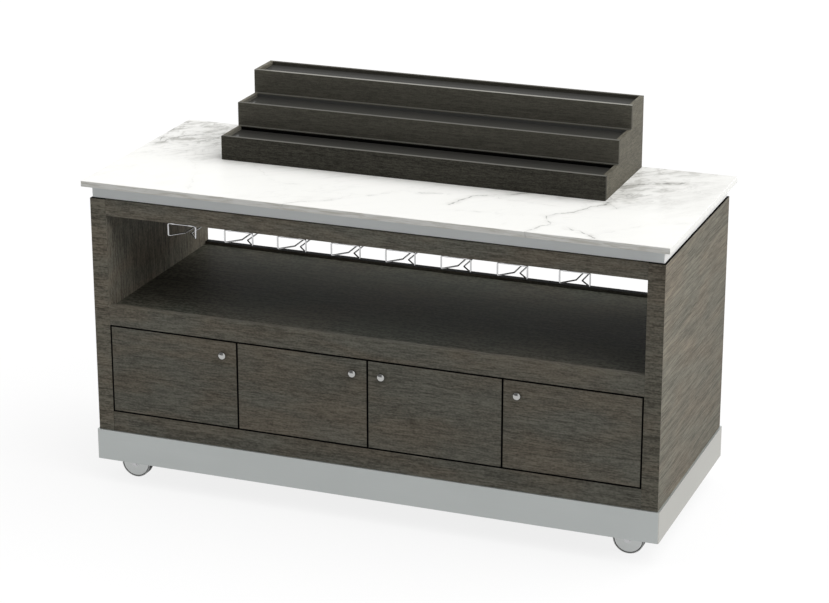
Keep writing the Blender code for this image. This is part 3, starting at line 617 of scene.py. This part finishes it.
def swept_wire(shape, corners, bend, radius, sides=12, steps=5):
    """A closed wire through the corners: straight runs extruded, and each corner spun round its centre."""
    count = len(corners)
    points = [Vector(corner) for corner in corners]
    bends = []
    for index, corner in enumerate(points):
        back = (points[index - 1] - corner).normalized()
        ahead = (points[(index + 1) % count] - corner).normalized()
        opening = back.angle(ahead)
        reach = bend / math.tan(opening / 2)
        middle = corner + (back + ahead).normalized() * bend / math.sin(opening / 2)
        axis = (-back).cross(ahead).normalized()
        bends.append((corner + back * reach, corner + ahead * reach, middle, axis, math.pi - opening))
    start = bends[0][1]
    forward = (bends[1][0] - start).normalized()
    turn = forward.to_track_quat('Z', 'Y').to_matrix().to_4x4()
    ring = bmesh.ops.create_circle(shape, cap_ends=False, segments=sides, radius=radius,
                                   matrix=Matrix.Translation(start) @ turn)["verts"]
    edges = list({edge for vert in ring for edge in vert.link_edges})
    here = start
    for entry, leave, middle, axis, angle in bends[1:] + bends[:1]:
        run = bmesh.ops.extrude_edge_only(shape, edges=edges)["geom"]
        moved = [item for item in run if isinstance(item, bmesh.types.BMVert)]
        bmesh.ops.translate(shape, verts=moved, vec=entry - here)
        edges = [item for item in run if isinstance(item, bmesh.types.BMEdge)]
        arc = bmesh.ops.spin(shape, geom=edges, cent=middle, axis=axis, angle=angle, steps=steps)["geom_last"]
        edges = [item for item in arc if isinstance(item, bmesh.types.BMEdge)]
        here = leave
    bmesh.ops.remove_doubles(shape, verts=shape.verts, dist=0.00002)


def pan_head(shape, place, radius, height):
    """A screw's domed head with a crossed recess, its face along -Z of the place."""
    section = [(0, -height), (radius * 0.35, -height * 0.98), (radius * 0.75, -height * 0.78),
               (radius * 0.96, -height * 0.4), (radius, 0), (0, 0)]
    turned(shape, section, place, 20)
    for turn in (0, math.pi / 2):
        size = Matrix.Diagonal((radius * 1.1, radius * 0.24, height * 0.1, 1))
        spin = Matrix.Rotation(turn, 4, 'Z')
        middle = Matrix.Translation((0, 0, -height))
        bmesh.ops.create_cube(shape, size=1.0, matrix=place @ middle @ spin @ size)


def rack_route(mouth, front, back, top, level):
    """Corners of a rack's wire: a wide mouth, a funnel and a narrow slot that is closed at its rear end."""
    throat = front + THROAT_DEPTH
    half = [(mouth, front, top), (mouth, front, level), (SLOT_HALF, throat, level),
            (SLOT_HALF, back, level), (SLOT_HALF, back, top)]
    return [(-mouth, front, top)] + half + [(-x, y, z) for x, y, z in reversed(half[1:])]


def make_racks(chrome):
    """Stemware racks of round bent wire, each held by three screwed straps."""
    for number in RACKS:
        node = f"stemware_rack_{number}"
        low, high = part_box(node)
        middle = (low.x + high.x) / 2
        mouth = (high.x - low.x) / 2 - WIRE
        front = low.y + WIRE
        back = front + RACK_DEPTH
        top = high.z - TAB_THICK - WIRE_DROP - WIRE
        route = rack_route(mouth, front, back, top, low.z + WIRE)
        shape = bmesh.new()
        swept_wire(shape, [(x + middle, y, z) for x, y, z in route], WIRE_BEND, WIRE)
        rack = new_piece(f"rack_wire_{number}", shape, chrome, "cabinet", 50)
        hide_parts(node)

        shape = bmesh.new()
        aside = mouth * STRAP_ASIDE
        for x, y, way in ((middle - aside, front, 1), (middle + aside, front, 1), (middle, back, -1)):
            strap(shape, x, y, top, high.z, way)
        straps = new_piece(f"rack_straps_{number}", shape, chrome, "cabinet")
        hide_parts(node)


def strap(shape, x, y, wire_level, ceiling, way):
    """A thin strap that lies on the ceiling, wraps under a wire and is screwed on one side of it."""
    inner = WIRE + STRAP_PLAY
    bend = inner + STRAP_THICK / 2
    level = ceiling - STRAP_THICK
    turns = [math.radians(degrees) for degrees in range(30, -181, -30)]
    path = [(way * STRAP_FOOT, level), (way * (inner + STRAP_THICK + STRAP_GAP), level)]
    path += [(way * bend * math.cos(turn), wire_level + bend * math.sin(turn)) for turn in turns]
    path += [(-way * bend, level)]
    corners = [shape.verts.new((x - STRAP_WIDTH / 2, y + offset, height)) for offset, height in path]
    edges = [shape.edges.new(pair) for pair in zip(corners, corners[1:])]
    wide = bmesh.ops.extrude_edge_only(shape, edges=edges)["geom"]
    moved = [item for item in wide if isinstance(item, bmesh.types.BMVert)]
    bmesh.ops.translate(shape, verts=moved, vec=(STRAP_WIDTH, 0, 0))
    faces = [face for face in wide if isinstance(face, bmesh.types.BMFace)]
    bmesh.ops.recalc_face_normals(shape, faces=faces)
    bmesh.ops.solidify(shape, geom=faces, thickness=STRAP_THICK)
    screw = Matrix.Translation((x, y + way * STRAP_SCREW, ceiling - STRAP_THICK * 1.5))
    pan_head(shape, screw, *STRAP_SCREW_HEAD)


def knob_section(radius, reach):
    """A knob from the middle of its dome over a rolled edge and a waisted neck to the end of its screw."""
    turns = [math.radians(degrees) for degrees in range(0, 91, 9)]
    dome = [(radius * math.sin(turn), reach - KNOB_DOME * (1 - math.cos(turn))) for turn in turns]
    edge = [(radius, reach - 0.0096), (radius * 0.96, reach - 0.0106), (radius * 0.84, reach - 0.0113)]
    neck = [(radius * 0.52, reach - 0.0120), (radius * 0.42, reach - 0.0128), (radius * 0.41, 0.0024),
            (radius * 0.45, 0.0014), (radius * 0.55, KNOB_GAP)]
    screw = [(KNOB_SCREW_RADIUS, KNOB_GAP), (KNOB_SCREW_RADIUS, -KNOB_SCREW_LENGTH), (0, -KNOB_SCREW_LENGTH)]
    return dome + edge + neck + screw


def make_knobs(nickel):
    """Round pulls on the doors, each with its screw's head inside the door."""
    outward = Matrix.Rotation(math.pi / 2, 4, 'X')
    for number in DOORS:
        low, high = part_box(f"knob_{number}")
        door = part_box(f"door_{number}")[0].y
        middle = Vector(((low.x + high.x) / 2, door, (low.z + high.z) / 2))
        shape = bmesh.new()
        section = knob_section((high.x - low.x) / 2, door - low.y)
        turned(shape, section, Matrix.Translation(middle) @ outward, 56)
        inside = Matrix.Translation((middle.x, high.y - KNOB_SCREW_SEAT, middle.z)) @ outward
        pan_head(shape, inside, *KNOB_SCREW_HEAD)
        knob = new_piece(f"knob_turned_{number}", shape, nickel, f"door_{number}_leaf")
        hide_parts(f"knob_{number}")


def both_sides(section):
    """A section of one side of a wheel, carried on over its other side."""
    return section + [(across, -height) for across, height in reversed(section)]


def disc_section(radius):
    """Hub and flat disc of a wheel, up to the groove beside its tread."""
    hub = [(WHEEL_BORE, HUB_HALF), (HUB_RADIUS, HUB_HALF), (HUB_RADIUS + 0.0004, 0.0139)]
    flat = [(HUB_RADIUS + 0.0014, DISC_HALF), (radius - 0.0056, DISC_HALF)]
    rim = [(radius - 0.0050, 0.0128), (radius - 0.0046, 0.0100)]
    return both_sides(rounded(hub + flat + rim, 0.0006))


def tread_section(radius):
    """Thin tread with rounded shoulders, from the groove outwards."""
    groove = [(radius - 0.0043, 0.0092), (radius - 0.0037, 0.0095), (radius - 0.0034, 0.0122)]
    wall = [(radius - 0.0031, TREAD_HALF), (radius - 0.0007, TREAD_HALF)]
    running = [(radius, 0.0124), (radius, 0.0100)]
    return both_sides(rounded(groove + wall + running, 0.0005, 2))


def make_wheels(metal, rubber):
    """Caster wheels: a flat metal disc, and past a narrow groove a thin rounded tread round it."""
    for corner in CORNERS:
        node = f"caster_{corner}_wheel"
        low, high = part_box(node)
        radius = (high.z - low.z) / 2
        place = Matrix.Translation((low + high) / 2) @ Matrix.Rotation(math.pi / 2, 4, 'X')
        for part, section, finish, slot in (("disc", disc_section(radius), metal, "zinc_steel"),
                                            ("tread", tread_section(radius), rubber, "grey_wheel")):
            shape = bmesh.new()
            turned(shape, section, place, 72)
            piece = new_piece(f"wheel_{part}_{corner}", shape, finish, f"caster_{corner}_wheel_body")
            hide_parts(node)


def make_floor():
    """A pale floor that shows white, with the bar's soft shadow."""
    shape = bmesh.new()
    bmesh.ops.create_circle(shape, cap_ends=True, segments=96, radius=30)
    bmesh.ops.translate(shape, verts=shape.verts, vec=(0, 0, -0.0002))
    mesh = bpy.data.meshes.new("studio_floor")
    shape.to_mesh(mesh)
    shape.free()
    floor = bpy.data.objects.new("studio_floor", mesh)
    bpy.context.scene.collection.objects.link(floor)
    finish = Finish("studio_floor")
    finish.tree.nodes.remove(finish.shader)
    plain = finish.node('BsdfDiffuse', {'Color': (0.38, 0.38, 0.38, 1)})
    lit = finish.node('BsdfDiffuse', {'Color': (0.16, 0.16, 0.16, 1)})
    glow = finish.node('Emission', {'Color': (1, 1, 1, 1), 'Strength': 0.84})
    shown = finish.node('AddShader', {0: lit, 1: glow})
    out = finish.node('MixShader', {0: finish.seen_directly(), 1: plain, 2: shown})
    finish.tree.links.new(out.socket, finish.tree.nodes["Material Output"].inputs['Surface'])
    mesh.materials.append(finish.material)


def light_studio():
    """Soft light all round, broad lamps high on the right and left, and a white surround for what mirrors it.

    Only the part of the studio above and behind the camera, to the left, is dark in mirrors.
    """
    world = bpy.data.worlds.new("studio")
    bpy.context.scene.world = world
    world.use_nodes = True
    graph = Graph(world.node_tree)
    way = graph.node('TexCoord', out='Generated')
    across, depth, height = [graph.node('SeparateXYZ', {0: way}, out=axis) for axis in range(3)]
    dark = graph.clip(height, 0.02, 0.12) * graph.clip(depth, 0.05, -0.15) * graph.clip(across, 0.50, 0.20)
    mirrored = graph.mix(dark, (1.0, 1.0, 1.0), (0.20, 0.20, 0.20))
    light = graph.mix(graph.node('LightPath', out='Is Glossy Ray'), (0.27, 0.27, 0.27), mirrored)
    shown = graph.mix(graph.node('LightPath', out='Is Camera Ray'), light, (1.0, 1.0, 1.0))
    graph.tree.links.new(shown.socket, graph.tree.nodes["Background"].inputs['Color'])
    add_sun("key_light", (0.64, 0.10, 0.76), 3.00, 80)
    add_sun("fill_light", (-0.60, 0.10, 0.79), 0.60, 80)


def add_sun(name, towards, strength, spread):
    """A soft lamp that shines from a direction, spread over an angle in degrees. Mirrors don't show it."""
    lamp = bpy.data.lights.new(name, 'SUN')
    lamp.energy = strength
    lamp.angle = math.radians(spread)
    sun = bpy.data.objects.new(name, lamp)
    sun.visible_glossy = False
    sun.rotation_euler = Vector(towards).to_track_quat('Z', 'Y').to_euler()
    bpy.context.scene.collection.objects.link(sun)


def set_camera():
    """The photograph's view: long lens, from the right and above."""
    view = bpy.data.cameras.new("photo_view")
    view.sensor_width = 36.0
    view.lens = 112.0
    view.clip_end = 200.0
    camera = bpy.data.objects.new("photo_view", view)
    camera.location = (2.6769, -6.9513, 3.1924)
    camera.rotation_euler = (math.radians(70.7516), 0, math.radians(20.9561))
    bpy.context.scene.collection.objects.link(camera)
    bpy.context.scene.camera = camera


# painted light and shade: gap paints the rails' faces in the doors' gaps black, and each rail's level and
# shade to the right copy how it is lit
for name, shift, gap, painted_light_level, painted_shade_right in (("front_top_rail", (0.7, 0.2, 1.3), None, 1.08, 0.06),
                                       ("front_middle_rail", (2.7, 1.2, 0.3), ('Z', -1), 1.0, 0.03),
                                       ("front_bottom_rail", (4.4, 0.8, 2.3), ('Z', 1), 0.95, 0.03)):
    dress(oak_laminate(name + "_oak", 'X', shift, gap=gap, painted_light_level=painted_light_level, painted_shade_right=painted_shade_right), name)
dress(oak_laminate("rear_oak", 'X', (6.0, 0.5, 3.3)), "rear_top_rail")
# painted shade: the rear panel's top edge is black
dress(oak_laminate("rear_panel_oak", 'X', (6.0, 0.5, 3.3), gap=('Z', 1)), "rear_panel")
# painted shade: the boards inside the bay and the partitions are darker
dress(oak_laminate("inside_oak", 'X', (3.1, 5.2, 0.4), painted_light_level=0.57, contrast=1.5, fine=2.2,
                   drawn=0.6, cool=(0.90, 1.0, 0.97), warm=(0.98, 1.0, 0.95)),
      "ceiling_panel", "bay_shelf", "floor_panel")
dress(oak_laminate("partition_oak", 'Y', (1.1, 2.2, 3.4), painted_light_level=0.73), "partition_left", "partition_right")
# painted light: each side's front edge is set lighter or darker by edges
dress(oak_laminate("left_side_oak", 'Y', (2.0, 0.9, 4.0), board=-1, edges=1.06, **SIDE_OAK), "side_left")
dress(oak_laminate("right_side_oak", 'Y', (5.0, 3.9, 2.6), board=1, edges=0.93, **SIDE_OAK), "side_right")
for number in DOORS:
    door = f"door_{number}"
    dress(oak_laminate(door + "_oak", 'X', (1.7 * number, 0.3, 2.9 * number), gap=door), door)
# painted light and shade: each tray's wood, highlight, tread and back levels copy how it is lit; the lowest
# tray is darkest
dress(riser_tray(1, dark=0.018, light=0.070, lip=0.134, back=0.0015, tread_shade_levels=(0.034, 0.052), gloss=0.42),
      "riser_tier_1")
dress(riser_tray(2, dark=0.068, light=0.125, lip=0.135, back=0.080, tread_shade_levels=(0.042, 0.056), gloss=0.40),
      "riser_tier_2")
dress(riser_tray(3, dark=0.073, light=0.134, lip=0.300, back=0.045, tread_shade_levels=(0.036, 0.050), gloss=0.06),
      "riser_tier_3")
# painted light and shade on the cheeks' inner faces in the two lower trays
dress(riser_cheek("left", 1, (0.130, 0.160)), "riser_cheek_left")
dress(riser_cheek("right", -1, (0.045, 0.018)), "riser_cheek_right")
dress(riser_back(), "riser_back")
dress(honed_marble(), "stone_top")
dress(painted_board("black_plywood", (0.022, 0.022, 0.022)), "sub_top", "base_frame")
# painted light: the trim's end faces are tinted lighter, the skirt's darker and warmer
dress(brushed_metal("trim_aluminium", (0.780, 0.810, 0.810), 0.42, metallic=0.1, end_light_tint=(1.24, 1.19, 1.17)),
      "trim_band")
dress(brushed_metal("skirt_steel", (0.528, 0.554, 0.546), 0.40, lines=0.05, metallic=0.6,
                    end_light_tint=(0.90, 0.85, 0.80)), "base_skirt")
zinc = plated_metal("zinc_plate", (0.52, 0.52, 0.53), 0.30)
for corner in CORNERS:
    dress(zinc, f"caster_{corner}_plate", f"caster_{corner}_fork")
blackened = plated_metal("blackened_steel", (0.02, 0.02, 0.02), 0.5)
for number in DOORS:
    dress(blackened, f"door_{number}_pivot_top", f"door_{number}_pivot_bottom")

make_racks(plated_metal("bright_wire", (0.62, 0.62, 0.63), 0.16, spots=0.01))
make_knobs(plated_metal("satin_nickel", (0.46, 0.46, 0.45), 0.20, spots=0.01))
# painted light: the discs are paler than the skirt, against the shade under the bar
make_wheels(brushed_metal("wheel_disc", (0.670, 0.690, 0.680), 0.40, lines=0.03, metallic=0.6),
            tread_rubber())
make_floor()
light_studio()
set_camera()
bpy.context.scene.view_settings.view_transform = 'Standard'
